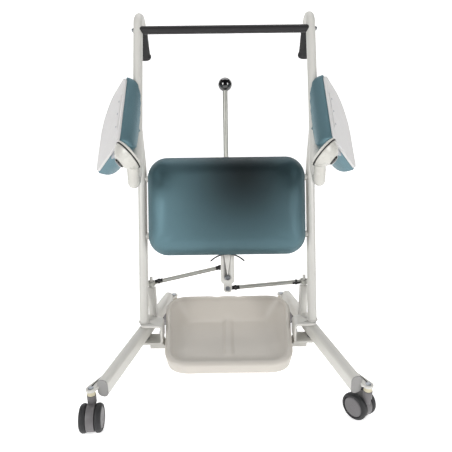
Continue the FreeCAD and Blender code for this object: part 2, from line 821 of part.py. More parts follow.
def make_tie_rods(bolts):
    """Rods from the two pins of the lever to the leg posts. Each outer eye is loose on its post pin."""
    rod_plane = val("rod_plane")
    pivot = val("lever_pivot")
    half_eye = 6.7
    post = on_leg(val("post_along"), -val("post_in"), 0)
    spots = {"right": -val("lever_arm"), "left": val("lever_arm")}
    for side, offset in spots.items():
        sign = 1 if side == "right" else -1
        inner = on_mast(0, pivot + offset, rod_plane)
        outer = Vector(post.x * sign, post.y, val("rod_pin_height"))
        away = outer - inner
        reach = away.Length
        away.normalize()
        side_axis = away.cross(MAST_FRONT)
        bar = cylinder(cell("rod_dia") / 2, reach - 22, inner + away * 9, away, side_axis)
        eye = cylinder(12, 2 * half_eye, inner - MAST_FRONT * half_eye, MAST_FRONT, RIGHT)
        bore = cylinder(4.05, 60, inner - MAST_FRONT * 30, MAST_FRONT, RIGHT)
        ring = cylinder(cell("rod_eye") / 2, 12, outer - UP * 6, UP, RIGHT)
        loose = cylinder(cell("post_pin") / 2 + cell("eye_play"), 80, outer - UP * 40, UP, RIGHT)
        keep(cut(fuse(bar, eye, ring), bore, loose), f"tie_rod_{side}")
    keep(group(*bolts), "lever_link_bolts")


# ---------------------------------------------------------------- foot tray


def rounded_ring(half_near, half_far, near, far, radius, height):
    """A level closed outline with four rounded corners, wider at its far side than at its near one."""
    corners = [(-half_near, near), (half_near, near), (half_far, far), (-half_far, far)]
    edges = []
    count = len(corners)
    joints = []
    for index in range(count):
        before = Vector(*corners[index - 1], height)
        corner = Vector(*corners[index], height)
        after = Vector(*corners[(index + 1) % count], height)
        toward = (corner - before).normalize()
        away = (after - corner).normalize()
        half_turn = toward.getAngle(away) / 2
        reach = radius * math.tan(half_turn)
        bisector = (away - toward).normalize()
        centre = corner + bisector * (radius / math.cos(half_turn))
        joints.append((corner - toward * reach, centre - bisector * radius, corner + away * reach))
    for index in range(count):
        first, middle, last = joints[index]
        edges.append(Part.Arc(first, middle, last).toShape())
        edges.append(Part.LineSegment(last, joints[(index + 1) % count][0]).toShape())
    return Part.Wire(edges)


def make_tray():
    """A moulded pan with drafted walls, its rim rising towards the toes, and a rib down its middle."""
    floor = val("tray_floor")
    bottom = val("tray_bottom")
    near = along_y(val("tray_near"))
    far = along_y(val("tray_far"))
    high = val("tray_far_rim") + 15
    outer = Part.makeLoft([rounded_ring(190, 196, near + 6, far - 34, 46, bottom),
                           rounded_ring(202, 234, near - 4, far + 14, 70, high)], True, True)
    pocket = Part.makeLoft([rounded_ring(158, 152, near + 70, far - 52, 34, floor),
                            rounded_ring(186, 206, near + 20, far - 8, 58, high)], True, True)
    hollow = Part.makeLoft([rounded_ring(150, 146, near + 78, far - 62, 30, bottom - 1),
                            rounded_ring(154, 150, near + 74, far - 58, 30, floor - 6)], True, True)
    drop = val("tray_far_rim") - val("tray_front_rim")
    slope = math.atan2(drop, far - near)
    above = Part.makeBox(600, 600, 200)
    above.translate(Vector(-300, 0, 0))
    above.rotate(Vector(0, 0, 0), RIGHT, math.degrees(slope))
    start = 100
    above_height = val("tray_front_rim") - start * math.sin(slope)
    above.translate(Vector(0, near - start * math.cos(slope), above_height))
    pan = outer.cut([pocket, hollow, above])
    rib = Part.makeCylinder(9, far - near - 122, Vector(0, near + 68, floor - 3), Vector(0, 1, 0))
    rib = rib.common(Part.makeBox(30, 600, 30, Vector(-15, near, floor - 5)))
    pan = pan.fuse(rib).removeSplitter()
    gap = 60
    gaps = []
    for left_face in (val("bracket_in"), -val("bracket_in") - gap):
        gaps.append(Part.makeBox(gap, 84, 118, Vector(left_face, along_y(-42), 20)))
    beam_room = Part.makeBox(500, val("beam_depth") + 1, 30)
    beam_room.translate(Vector(-250, along_y(-val("beam_depth") / 2) - 0.5, val("beam_top") + 0.5 - 30))
    pan = pan.cut(gaps + [beam_room])
    tray = doc.addObject("Part::Feature", "FootTray")
    tray.Shape = pan
    place(tray)
    keep(tray, "foot_tray")

    screws = []
    for side in (1, -1):
        for forward in (-16, 16):
            head_at = Vector(side * (val("bracket_in") + val("plate")), along_y(forward), 120)
            screw = turned([(0, 0), (5.5, 0), (5.5, 2), (3.5, 4), (0, 4)])
            screws.append(place(screw, head_at, RIGHT * side, UP))
    keep(group(*screws), "tray_screws")


# ---------------------------------------------------------------- seat hinges and seat halves


yaw = math.radians(val("hinge_yaw"))
dip = math.radians(val("hinge_dip"))
HINGE = Vector(val("hinge_out"), along_y(val("hinge_along")), val("hinge_up"))
HINGE_AXIS = Vector(math.cos(yaw) * math.cos(dip), -math.sin(yaw) * math.cos(dip), -math.sin(dip))
HINGE_SIDE = HINGE_AXIS.cross(UP).normalize()
SEAT_OPEN = FreeCAD.Placement(Vector(0, 0, 0), FreeCAD.Rotation(HINGE_AXIS, -val("seat_swing")), HINGE)


def on_hinge(up):
    """A point on the right hinge axis, outward from the seam plane."""
    return HINGE + HINGE_AXIS * up


def hinged(item, up=0.0):
    return place(item, on_hinge(up), HINGE_AXIS, HINGE_SIDE)


def opened(item):
    """Swing a piece drawn in the closed position out to the open one."""
    item.Placement = SEAT_OPEN.multiply(item.Placement)
    return item


def make_hinge():
    """The fixed side of each seat hinge: dome, cap, seam ring and pin, and the elbow that carries them."""
    ring = cell("ring_dia") / 2
    rim = val("ring_dia") / 2
    height = val("dome_height")
    ball = (rim * rim + height * height) / (2 * height)
    wall = 4.0
    pin = cell("hinge_pin_dia") / 2
    cap = cell("cap_dia") / 2
    centre = on_hinge(height - ball)
    shell = cut(sphere(ball, centre), sphere(ball - wall, centre))
    below = hinged(cylinder(100, 200), -199.0)
    top_hole = hinged(cylinder(cap, 40), height - 8)
    hub = hinged(cylinder(cap + 4, height - 8), 2.0)
    pin_bore = hinged(cylinder(pin, 60), -30.0)
    dome = cut(fuse(cut(shell, below), common(hub, sphere(ball - 1, centre))), top_hole, pin_bore)

    arm = Vector(val("pivot_out"), along_y(val("arm_end")), val("arm_height"))
    stub = cell("stub_dia") / 2
    collar_top = cylinder(stub, 60, arm, UP, RIGHT)
    sleeve = cylinder(stub, 34, arm, Vector(0, 1, 0), RIGHT)
    elbow = fuse(sphere(stub, arm), collar_top, sleeve)
    tube_bore = cylinder(cell("tube_dia") / 2, 80, arm + Vector(0, 4, 0), Vector(0, 1, 0), RIGHT)
    solid_dome = hinged(cylinder(ring + 1.5, 120), -1.8)
    elbow = cut(elbow, tube_bore, common(sphere(ball, on_hinge(height - ball)), solid_dome))
    trim = hinged(cylinder(200, 200), -201.8)
    seam_room = hinged(cylinder(ring + 0.8, 3.2), -1.8)
    elbow = cut(elbow, trim, seam_room)
    keep_pair(dome, "hinge_dome")
    keep(group(elbow, mirrored(elbow)), "elbow_covers")

    seam = hinged(turned([(ring - 4.5, -1.5), (ring + 0.3, -1.5), (ring + 0.3, 1), (ring - 4.5, 1)]))
    keep(group(seam, mirrored(seam)), "seam_rings")
    plug = hinged(turned([(0, height - 5), (cap, height - 5), (cap, height - 1.5), (cap - 2.5, height + 0.6),
                          (0, height + 1.4)]))
    keep(group(plug, mirrored(plug)), "hinge_caps")
    flange = cell("flange_thick")
    back = -(flange + 1.8)
    head_low = back - 4.3
    bolt = hinged(turned([(0, head_low), (13, head_low), (13, back - 0.3), (pin, back - 0.3),
                          (pin, height - 9), (0, height - 9)]))
    keep(group(bolt, mirrored(bolt)), "hinge_pins")


def seat_outline(grow):
    rear = cell("pivot_back") + cell("seat_rear")
    front = cell("pivot_back") + cell("seat_front")
    return rectangle(cell("seat_in") + grow, cell("seat_out") - grow, rear + grow, front - grow)


def round_seat(body, grow):
    """Small corners at the sides, and a large one at the back beside the middle plane."""
    middle_x = (val("seat_in") + val("seat_out")) / 2
    middle_y = along_y((val("seat_front") + val("seat_rear")) / 2)

    def is_inner_rear(start, end):
        return is_upright(start, end) and start.x < middle_x and start.y < middle_y

    def is_other(start, end):
        in_rear = start.x < middle_x - 10 and start.y < middle_y
        return is_upright(start, end) and not in_rear

    rounded(body, cell("seat_rear_corner") - grow, is_inner_rear)
    rounded(body, cell("seat_corner") - grow, is_other)
    return body


def make_seat(tube_rooms):
    """The swinging side: hinge flange, steel bracket, moulded plate and cushion, drawn closed, then opened."""
    ring = cell("ring_dia") / 2
    flange_thick = cell("flange_thick")
    back = -(flange_thick + 1.8)
    pin = cell("hinge_pin_dia") / 2 + cell("pin_play")
    flange = hinged(turned([(pin, back), (ring - 5, back), (ring + 1.5, back + 3), (ring + 1.5, -3),
                            (ring, -1.8), (pin, -1.8)]))
    keep_pair(flange, "hinge_flange")

    plate_top = val("seat_under") + val("seat_plate_thick")
    strap_y = along_y(-88)
    strap = box(122, 58, 6, Vector(150, strap_y, plate_top))
    web = box(13, 58, 34, Vector(259, strap_y + 6, plate_top))
    riser = box(21, 12, 6, Vector(252, strap_y + 20, plate_top))
    sweep_room = hinged(cylinder(ring + 1.5, 200), -(val("flange_thick") + 1.8))
    head_room = hinged(cylinder(15, 20), -25.0)
    bracket = opened(cut(fuse(strap, web, riser), sweep_room, head_room))
    keep_pair(bracket, "seat_bracket")

    plate = padded(seat_outline(0), cell("seat_plate_thick"))
    round_seat(plate, 0)
    place(plate, Vector(0, 0, val("seat_under")))
    hinge_room = hinged(cylinder(ring + 4, 300), -(val("flange_thick") + 4))
    slot = box(132, 7, 3, Vector(70, along_y(val("seat_front")) - 20, val("seat_under")))
    keep_pair(opened(cut(plate, hinge_room, slot)), "seat_plate")

    cushion = padded(seat_outline(3), cell("seat_cushion_thick"))
    round_seat(cushion, 3)
    top_face = val("seat_cushion_thick")
    rounded(cushion, 13, lambda start, end: min(start.z, end.z) > top_face - 0.01)
    place(cushion, Vector(0, 0, plate_top))
    strap_room = box(124, 60, 7, Vector(149, strap_y - 1, plate_top - 0.5))
    hinge_room = hinged(cylinder(ring + 4, 300), -(val("flange_thick") + 6))
    keep_pair(cut(opened(cut(cushion, strap_room, hinge_room)), *tube_rooms), "seat_cushion")


make_legs()
for corner_name in ("rear", "front"):
    for side_name, side_sign in (("right", 1), ("left", -1)):
        swivel = CASTERS[corner_name]
        full_name = f"{corner_name}_{side_name}"
        make_caster(full_name, Vector(swivel.x * side_sign, swivel.y, 0), CASTER_TRAILS[full_name])
make_brackets()
upper_outer, lower_outer, tube_rooms = make_tubes()
make_crossbar(upper_outer)
make_knee_pad(lower_outer)
make_tie_rods(make_lever())
make_tray()
make_hinge()
make_seat(tube_rooms)
doc.recompute()

for item in doc.Objects:
    if "Invalid" in item.State or "Error" in item.State:
        raise RuntimeError(f"{item.Name} ({item.Label}) did not recompute: {item.State}")
for label, item in PARTS.items():
    if item.Shape.isNull() or not item.Shape.isValid() or not item.Shape.Solids:
        raise RuntimeError(f"{label} has no valid solid")

os.makedirs("parts", exist_ok=True)
whole = FreeCAD.BoundBox()
for label, item in PARTS.items():
    item.Shape.exportStep(f"parts/{label}.step")
    whole.add(item.Shape.BoundBox)
print(f"{len(PARTS)} parts, box {whole}")
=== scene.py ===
import json
import math

import bmesh
import bpy
import numpy as np
from mathutils import Matrix, Vector
from mathutils.bvhtree import BVHTree


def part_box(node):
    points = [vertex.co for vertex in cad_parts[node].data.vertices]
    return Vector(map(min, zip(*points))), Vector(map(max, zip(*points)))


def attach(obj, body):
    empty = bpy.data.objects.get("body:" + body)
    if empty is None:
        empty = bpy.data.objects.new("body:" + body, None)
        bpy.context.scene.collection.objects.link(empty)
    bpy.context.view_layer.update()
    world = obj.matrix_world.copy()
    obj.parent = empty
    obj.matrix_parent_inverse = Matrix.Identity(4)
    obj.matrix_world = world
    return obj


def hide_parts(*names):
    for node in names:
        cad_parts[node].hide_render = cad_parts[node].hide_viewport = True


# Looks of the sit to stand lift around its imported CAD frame. Metres, +Z up, -Y towards the patient's back.
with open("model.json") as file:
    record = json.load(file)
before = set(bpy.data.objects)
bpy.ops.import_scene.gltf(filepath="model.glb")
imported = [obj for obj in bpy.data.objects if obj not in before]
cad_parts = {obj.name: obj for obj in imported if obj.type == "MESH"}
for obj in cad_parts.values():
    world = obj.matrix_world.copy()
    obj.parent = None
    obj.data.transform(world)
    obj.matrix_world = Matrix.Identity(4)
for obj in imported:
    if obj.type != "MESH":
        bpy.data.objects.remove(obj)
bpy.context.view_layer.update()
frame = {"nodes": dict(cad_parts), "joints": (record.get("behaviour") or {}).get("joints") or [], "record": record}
RECORD = frame["record"]
JOINTS = {joint["name"]: joint for joint in frame["joints"]}
SIDES = {"right": 1, "left": -1}


# ---------------------------------------------------------------- materials


class Shader:
    """A small wrapper that builds one procedural material around a Principled shader."""

    def __init__(self, name):
        self.material = bpy.data.materials.new(name)
        self.material.use_nodes = True
        self.tree = self.material.node_tree
        self.surface = self.tree.nodes["Principled BSDF"]
        self.place = self.node("ShaderNodeTexCoord").outputs["Object"]

    def node(self, kind, **settings):
        made = self.tree.nodes.new(kind)
        for key, value in settings.items():
            setattr(made, key, value)
        return made

    def link(self, source, target):
        self.tree.links.new(source, target)

    def noise(self, scale, detail=3.0, roughness=0.5, stretch=(1, 1, 1)):
        mapping = self.node("ShaderNodeMapping")
        mapping.inputs["Scale"].default_value = stretch
        self.link(self.place, mapping.inputs["Vector"])
        noise = self.node("ShaderNodeTexNoise")
        noise.inputs["Scale"].default_value = scale
        noise.inputs["Detail"].default_value = detail
        noise.inputs["Roughness"].default_value = roughness
        self.link(mapping.outputs["Vector"], noise.inputs["Vector"])
        return noise.outputs["Fac"]

    def cells(self, scale):
        cells = self.node("ShaderNodeTexVoronoi", feature="DISTANCE_TO_EDGE")
        cells.inputs["Scale"].default_value = scale
        self.link(self.place, cells.inputs["Vector"])
        return cells.outputs["Distance"]

    def spread(self, source, low, high, low_out=0.0, high_out=1.0):
        ramp = self.node("ShaderNodeMapRange")
        for key, value in (("From Min", low), ("From Max", high), ("To Min", low_out), ("To Max", high_out)):
            ramp.inputs[key].default_value = value
        self.link(source, ramp.inputs["Value"])
        return ramp.outputs["Result"]

    def colours(self, source, first, second):
        mix = self.node("ShaderNodeMix", data_type="RGBA")
        mix.inputs["A"].default_value = (*first, 1)
        mix.inputs["B"].default_value = (*second, 1)
        self.link(source, mix.inputs["Factor"])
        self.link(mix.outputs["Result"], self.surface.inputs["Base Color"])
        return mix

    def darken(self, source, amount):
        """Multiply the base colour by a pattern, down to 1 - amount where the pattern is 0."""
        link = self.surface.inputs["Base Color"].links[0]
        mix = self.node("ShaderNodeMix", data_type="RGBA", blend_type="MULTIPLY")
        mix.inputs["Factor"].default_value = 1.0
        self.link(link.from_socket, mix.inputs["A"])
        shade = self.spread(source, 0, 1, 1 - amount, 1)
        self.link(shade, mix.inputs["B"])
        self.link(mix.outputs["Result"], self.surface.inputs["Base Color"])

    def rough(self, source, low, high):
        self.link(self.spread(source, 0.3, 0.7, low, high), self.surface.inputs["Roughness"])

    def bump(self, source, distance, strength=1.0):
        bump = self.node("ShaderNodeBump")
        bump.inputs["Distance"].default_value = distance
        bump.inputs["Strength"].default_value = strength
        self.link(source, bump.inputs["Height"])
        previous = self.surface.inputs["Normal"].links
        if previous:
            self.link(previous[0].from_socket, bump.inputs["Normal"])
        self.link(bump.outputs["Normal"], self.surface.inputs["Normal"])

    def set(self, **values):
        for key, value in values.items():
            self.surface.inputs[key.replace("_", " ")].default_value = value
        return self.material


def tinted(colour, factor):
    return tuple(channel * factor for channel in colour)


def plastic(name, colour, low_rough, high_rough, grain, grain_depth, variation=0.06):
    """Moulded plastic: faint cloudy colour, a fine moulded grain and uneven sheen."""
    shader = Shader(name)
    shader.colours(shader.noise(7.0), tinted(colour, 1 - variation), tinted(colour, 1 + variation / 2))
    shader.rough(shader.noise(40.0), low_rough, high_rough)
    shader.bump(shader.noise(grain, 2.0), grain_depth)
    return shader.material


def powder_coat(name, colour):
    """Baked powder paint: orange peel, a trace of dust in it, and slightly uneven gloss."""
    shader = Shader(name)
    shader.colours(shader.noise(5.0), tinted(colour, 0.95), tinted(colour, 1.03))
    specks = shader.spread(shader.noise(2600.0, 1.0), 0.28, 0.36)
    shader.darken(specks, 0.10)
    shader.rough(shader.noise(30.0), 0.36, 0.48)
    shader.bump(shader.noise(420.0, 2.0), 0.00022)
    return shader.set(Coat_Weight=0.12, Coat_Roughness=0.25)


def plated(name, colour, low_rough, high_rough, stretch=(1, 1, 1)):
    """Zinc plated steel with fine drawing marks and cloudy patches."""
    shader = Shader(name)
    shader.colours(shader.noise(60.0), tinted(colour, 0.8), tinted(colour, 1.1))
    shader.rough(shader.noise(220.0, 4.0, 0.6, stretch), low_rough, high_rough)
    shader.bump(shader.noise(1800.0, 2.0, 0.5, stretch), 0.00006)
    return shader.set(Metallic=1.0)


def rubber(name, colour, low_rough, high_rough, grain):
    shader = Shader(name)
    shader.colours(shader.noise(25.0), tinted(colour, 0.75), tinted(colour, 1.25))
    shader.rough(shader.noise(90.0), low_rough, high_rough)
    shader.bump(shader.noise(grain, 3.0), 0.00025)
    return shader.material


def vinyl_shader(name, colour):
    """Upholstery vinyl: pebbled grain in cells, soft sheen, and slow colour drift."""
    shader = Shader(name)
    shader.colours(shader.noise(4.0, 2.0), tinted(colour, 0.93), tinted(colour, 1.07))
    grain = shader.cells(900.0)
    shader.darken(shader.spread(grain, 0.0, 0.12), 0.10)
    shader.rough(shader.noise(18.0), 0.36, 0.46)
    shader.bump(shader.spread(grain, 0.0, 0.25), 0.00012)
    shader.bump(shader.noise(55.0, 3.0), 0.0004)
    shader.set(Metallic=0.55, Specular_IOR_Level=0.4)
    return shader


# Painted shade on the knee pad's vinyl: the strength of the darkening painted into its colour.
PAD_PAINTED_SHADE = 0.93  # how much of the colour is gone at the darkest point


def painted_shade_vinyl(name, colour, centre, reach):
    """The same vinyl with painted shade: its colour is darkened towards one point of the pad, standing in for a
    soft reflection of an unlit room.
    """
    shader = vinyl_shader(name, colour)
    distance = shader.node("ShaderNodeVectorMath", operation="DISTANCE")
    distance.inputs[1].default_value = centre
    shader.link(shader.place, distance.inputs[0])
    shade = shader.node("ShaderNodeMapRange", interpolation_type="SMOOTHSTEP")
    for key, value in (("From Min", 0.0), ("From Max", reach), ("To Min", 0.0), ("To Max", 1.0)):
        shade.inputs[key].default_value = value
    shader.link(distance.outputs["Value"], shade.inputs["Value"])
    # Painted shade: the base colour is darkened more the nearer a point lies to the centre.
    shader.darken(shade.outputs["Result"], PAD_PAINTED_SHADE)
    return shader.material


def plywood(name):
    """Sealed plywood with long grain across the board."""
    shader = Shader(name)
    grain = shader.noise(30.0, 6.0, 0.6, (1, 12, 12))
    shader.colours(shader.spread(grain, 0.35, 0.65), (0.20, 0.13, 0.075), (0.34, 0.24, 0.15))
    shader.rough(shader.noise(50.0), 0.45, 0.6)
    shader.bump(grain, 0.0002)
    return shader.material


def gloss_black():
    shader = Shader("black_gloss")
    shader.colours(shader.noise(12.0), (0.004, 0.004, 0.0045), (0.008, 0.008, 0.009))
    shader.rough(shader.noise(70.0, 3.0), 0.05, 0.12)
    return shader.set(Coat_Weight=1.0, Coat_Roughness=0.04)


FRAME_WHITE = (0.62, 0.61, 0.575)
MATERIALS = {
    "frame_paint": powder_coat("frame_paint", FRAME_WHITE),
    "zinc": plated("zinc", (0.42, 0.44, 0.47), 0.28, 0.45),
    "black_rubber": rubber("black_rubber", (0.011, 0.010, 0.011), 0.45, 0.62, 1500.0),
    "black_gloss": gloss_black(),
    "teal_vinyl": vinyl_shader("teal_vinyl", (0.125, 0.225, 0.262)).material,
    "board": plywood("board"),
    "tray_plastic": plastic("tray_plastic", (0.585, 0.55, 0.50), 0.34, 0.46, 1100.0, 0.00012, 0.03),
    "white_plastic": plastic("white_plastic", (0.56, 0.55, 0.51), 0.22, 0.32, 1500.0, 0.00006, 0.03),
    "caster_grey": plastic("caster_grey", (0.145, 0.138, 0.142), 0.38, 0.50, 1300.0, 0.00014),
    "tyre": rubber("tyre", (0.017, 0.017, 0.019), 0.5, 0.65, 900.0),
}
SEAT_WHITE = plastic("seat_white", (0.66, 0.65, 0.645), 0.42, 0.52, 1500.0, 0.00008, 0.03)
ROD_GREY = plated("rod_grey", (0.47, 0.47, 0.435), 0.42, 0.55, (1, 8, 8))
CAP_GREY = plastic("cap_grey", (0.30, 0.295, 0.29), 0.4, 0.55, 900.0, 0.0001)
CREAM = plastic("cream", (0.60, 0.55, 0.40), 0.4, 0.5, 1200.0, 0.0001)
BLACK_OXIDE = plated("black_oxide", (0.055, 0.055, 0.055), 0.35, 0.5)

NODE_SLOTS = {part["node"]: part["material_slot"] for part in RECORD["subparts"]}
SPECIAL = {
    "tie_rod_right": ROD_GREY,
    "tie_rod_left": ROD_GREY,
    "lever_rod": ROD_GREY,
    "detent_quadrant": BLACK_OXIDE,
    "seat_plate_right": SEAT_WHITE,
    "seat_plate_left": SEAT_WHITE,
}


def paint(item, material):
    item.data.materials.clear()
    item.data.materials.append(material)


for node_name, node_object in frame["nodes"].items():
    paint(node_object, SPECIAL.get(node_name, MATERIALS[NODE_SLOTS[node_name]]))


# ---------------------------------------------------------------- mesh helpers


def piece(name, verts, faces, body, slot, material=None, smooth=True):
    """A new mesh piece that rides on a CAD body and takes its finish from a slot of the record."""
    mesh = bpy.data.meshes.new(name)
    mesh.from_pydata([tuple(v) for v in verts], [], faces)
    return piece_from_mesh(name, mesh, body, slot, material, smooth)


def piece_from_mesh(name, mesh, body, slot, material=None, smooth=True):
    builder = bmesh.new()
    builder.from_mesh(mesh)
    bmesh.ops.remove_doubles(builder, verts=builder.verts, dist=1e-7)
    bmesh.ops.recalc_face_normals(builder, faces=builder.faces)
    builder.to_mesh(mesh)
    builder.free()
    made = bpy.data.objects.new(name, mesh)
    bpy.context.scene.collection.objects.link(made)
    for polygon in mesh.polygons:
        polygon.use_smooth = smooth
    paint(made, material or MATERIALS[slot])
    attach(made, body)
    return made


def frame_from(origin, z_axis, x_hint=Vector((1, 0, 0))):
    """A matrix whose Z is an axis and whose X is as near as can be to a hint."""
    z = Vector(z_axis).normalized()
    y = z.cross(x_hint).normalized()
    x = y.cross(z)
    return Matrix.Translation(origin) @ Matrix((x, y, z)).transposed().to_4x4()


def curve(first, corner, last, share):
    """A point on the arc that leaves first, bends towards a corner, and arrives at last."""
    return first * (1 - share) ** 2 + corner * (2 * share * (1 - share)) + last * share ** 2


def eased(profile, radius, steps=4):
    """A profile whose inner corners are rounded with short arcs."""
    points = [Vector(point) for point in profile]
    out = [points[0]]
    for before, corner, after in zip(points, points[1:], points[2:]):
        first = before - corner
        last = after - corner
        reach = min(radius, first.length * 0.49, last.length * 0.49)
        start = corner + first.normalized() * reach
        end = corner + last.normalized() * reach
        for step in range(steps + 1):
            out.append(curve(start, corner, end, step / steps))
    out.append(points[-1])
    return out


def lathe(profile, count=64):
    """Vertices and faces of a profile (radius, height) turned about Z."""
    verts = []
    faces = []
    rows = len(profile)
    for step in range(count):
        angle = 2 * math.pi * step / count
        for radius, height in profile:
            verts.append(Vector((radius * math.cos(angle), radius * math.sin(angle), height)))
    for step in range(count):
        here = step * rows
        there = ((step + 1) % count) * rows
        for row in range(rows - 1):
            faces.append((here + row, there + row, there + row + 1, here + row + 1))
    return verts, faces


def skinned(rows, count):
    """Faces between rings of one count of points, with a face over the first ring and over the last."""
    faces = []
    for row in range(rows - 1):
        here = row * count
        there = here + count
        for index in range(count):
            after = (index + 1) % count
            faces.append((here + index, here + after, there + after, there + index))
    faces.append(tuple(range(count)))
    faces.append(tuple((rows - 1) * count + index for index in range(count)))
    return faces


def joined(*shapes):
    """Several (verts, faces) as one."""
    verts = []
    faces = []
    for shape_verts, shape_faces in shapes:
        base = len(verts)
        verts += shape_verts
        faces += [tuple(base + index for index in face) for face in shape_faces]
    return verts, faces


def moved(shape, matrix):
    verts, faces = shape
    return [matrix @ Vector(v) for v in verts], faces


def closed_tube(path, radius, sides=10):
    """A closed tube of small section along a closed path of points."""
    count = len(path)
    verts = []
    faces = []
    for index in range(count):
        along = (path[(index + 1) % count] - path[index - 1]).normalized()
        side = along.cross(Vector((0, 0, 1)))
        if side.length < 0.1:
            side = along.cross(Vector((0, 1, 0)))
        side.normalize()
        up = side.cross(along)
        for turn in range(sides):
            angle = 2 * math.pi * turn / sides
            verts.append(path[index] + side * (radius * math.cos(angle)) + up * (radius * math.sin(angle)))
    for index in range(count):
        here = index * sides
        there = ((index + 1) % count) * sides
        for turn in range(sides):
            nxt = (turn + 1) % sides
            faces.append((here + turn, there + turn, there + nxt, here + nxt))
    return verts, faces


def node_points(node):
    """A CAD node's vertices at rest, as an array of rows."""
    mesh = frame["nodes"][node].data
    points = np.empty(len(mesh.vertices) * 3, np.float32)
    mesh.vertices.foreach_get("co", points)
    return points.reshape(-1, 3).astype(float)


def box_in(node, matrix):
    """The corners of a CAD node's box in the frame of a matrix."""
    inverse = np.array(matrix.inverted())
    points = node_points(node) @ inverse[:3, :3].T + inverse[:3, 3]
    return Vector(points.min(0)), Vector(points.max(0))


def remeshed(mesh, voxel):
    """A working object whose mesh is rebuilt in even steps, so that it is closed and can be smoothed."""
    work = bpy.data.objects.new("Work", mesh)
    bpy.context.scene.collection.objects.link(work)
    bpy.context.view_layer.objects.active = work
    work.select_set(True)
    mesh.remesh_voxel_size = voxel
    bpy.ops.object.voxel_remesh()
    work.select_set(False)
    return work


def softened(node, width, segments=3, angle=35.0):
    """Round the sharp edges of a CAD node as it is drawn; its mesh stays as it is."""
    item = frame["nodes"][node]
    weld = item.modifiers.new("Weld", "WELD")
    weld.merge_threshold = 1e-6
    bevel = item.modifiers.new("Round", "BEVEL")
    bevel.width = width
    bevel.segments = segments
    bevel.limit_method = "ANGLE"
    bevel.angle_limit = math.radians(angle)
    bevel.use_clamp_overlap = True
    bevel.harden_normals = True
    for polygon in item.data.polygons:
        polygon.use_smooth = True


# ---------------------------------------------------------------- cushions


def edge_distance(points, low, high, corners):
    """How far points lie inside an outline with round corners, given as radii for the four quarters."""
    middle = (low + high) / 2
    half = (high - low) / 2
    away = points[:, :2] - middle[:2]
    radius = np.where(away[:, 0] < 0, np.where(away[:, 1] < 0, corners[0], corners[1]),
                      np.where(away[:, 1] < 0, corners[2], corners[3]))
    beyond = np.abs(away) - half[:2] + radius[:, None]
    outside = np.linalg.norm(np.maximum(beyond, 0), axis=1)
    return radius - outside - np.minimum(beyond.max(axis=1), 0)


CUSHION_VOXEL = 0.0055
UNDER_HEIGHT = 0.020     # how far up its sides a cushion is drawn in towards its back
ARC_SHARE = 0.995        # a little under 1, so that the arcs never end on a vertical tangent
KEPT_SHARE = 0.45        # in one round of smoothing a vertex keeps this much of its own place
MEAN_SHARE = 0.55        # and takes this much of its neighbours' mean
SETTLING_ROUNDS = 26
CLOTH_FRAMES = 20
PRESS_REACH = 0.03       # hard parts further off than this are left out when a cushion is kept clear
PRESS_DEPTH = 0.02
SEAT_GROWTH = 0.034      # over the bare block, in length and in width
SEAT_PLUMPNESS = 1.44    # thickness over the bare block's


def crowned(points, corners, radius, under):
    """Draw the face of a block in from its edges, so that its sides turn into its face in one round sweep.
    Its back is drawn in by the under radius in the same way."""
    low = points.min(0)
    high = points.max(0)
    inside = np.maximum(edge_distance(points, low, high, corners), 0)
    step = 0.0005
    slope = np.zeros((len(points), 2))
    for axis in (0, 1):
        shift = np.zeros(points.shape[1])
        shift[axis] = step
        ahead = edge_distance(points + shift, low, high, corners)
        behind = edge_distance(points - shift, low, high, corners)
        slope[:, axis] = (ahead - behind) / (2 * step)
    level = np.clip(points[:, 2] / high[2], 0, 1)
    sunk = np.clip(1 - points[:, 2] / UNDER_HEIGHT, 0, 1)
    draw = radius * (1 - np.sqrt(1 - level ** 2 * ARC_SHARE))
    draw = draw + under * (1 - np.sqrt(1 - sunk ** 2 * ARC_SHARE))
    draw = draw * (1 - inside / inside.max())
    points = points.copy()
    points[:, :2] += slope * draw[:, None]
    return points


def cloth_cushion(node, flat_frame, back_height, cap, shrink, rounding, corners, crown, under):
    """The mesh of a stuffed cushion: a CAD solid remeshed, rounded, and blown up by a short cloth simulation.
    flat_frame has the cushion's back at z 0. Vertices near the back stay, as they are stapled to a board."""
    mesh = frame["nodes"][node].data.copy()
    mesh.transform(flat_frame.inverted())
    work = remeshed(mesh, CUSHION_VOXEL)
    mesh = work.data

    points = np.array([v.co for v in mesh.vertices])
    top = points[:, 2].max()
    points[:, 2] = np.where(points[:, 2] > back_height, points[:, 2] * (top - shrink) / top, points[:, 2])
    points = crowned(points, corners, crown, under)
    neighbours = edge_table(mesh)
    held = points[:, 2] < back_height
    points = smoothed(points, neighbours, rounding, held)
    write_points(mesh, points)

    points = blown_up(work, points, held, cap)
    points = smoothed(points, neighbours, SETTLING_ROUNDS, held)
    write_points(mesh, points)
    bpy.data.objects.remove(work)
    mesh.transform(flat_frame)
    return mesh


def edge_table(mesh):
    edges = np.empty(len(mesh.edges) * 2, np.int64)
    mesh.edges.foreach_get("vertices", edges)
    return edges.reshape(-1, 2)


def smoothed(points, edges, rounds, held):
    """Each free vertex moves towards the mean of its neighbours, some rounds."""
    counts = np.zeros(len(points))
    np.add.at(counts, edges[:, 0], 1)
    np.add.at(counts, edges[:, 1], 1)
    for _ in range(rounds):
        sums = np.zeros_like(points)
        np.add.at(sums, edges[:, 0], points[edges[:, 1]])
        np.add.at(sums, edges[:, 1], points[edges[:, 0]])
        mean = sums / counts[:, None]
        points = np.where(held[:, None], points, points * KEPT_SHARE + mean * MEAN_SHARE)
    return points


def write_points(mesh, points):
    mesh.vertices.foreach_set("co", points.astype(np.float32).ravel())
    mesh.update()


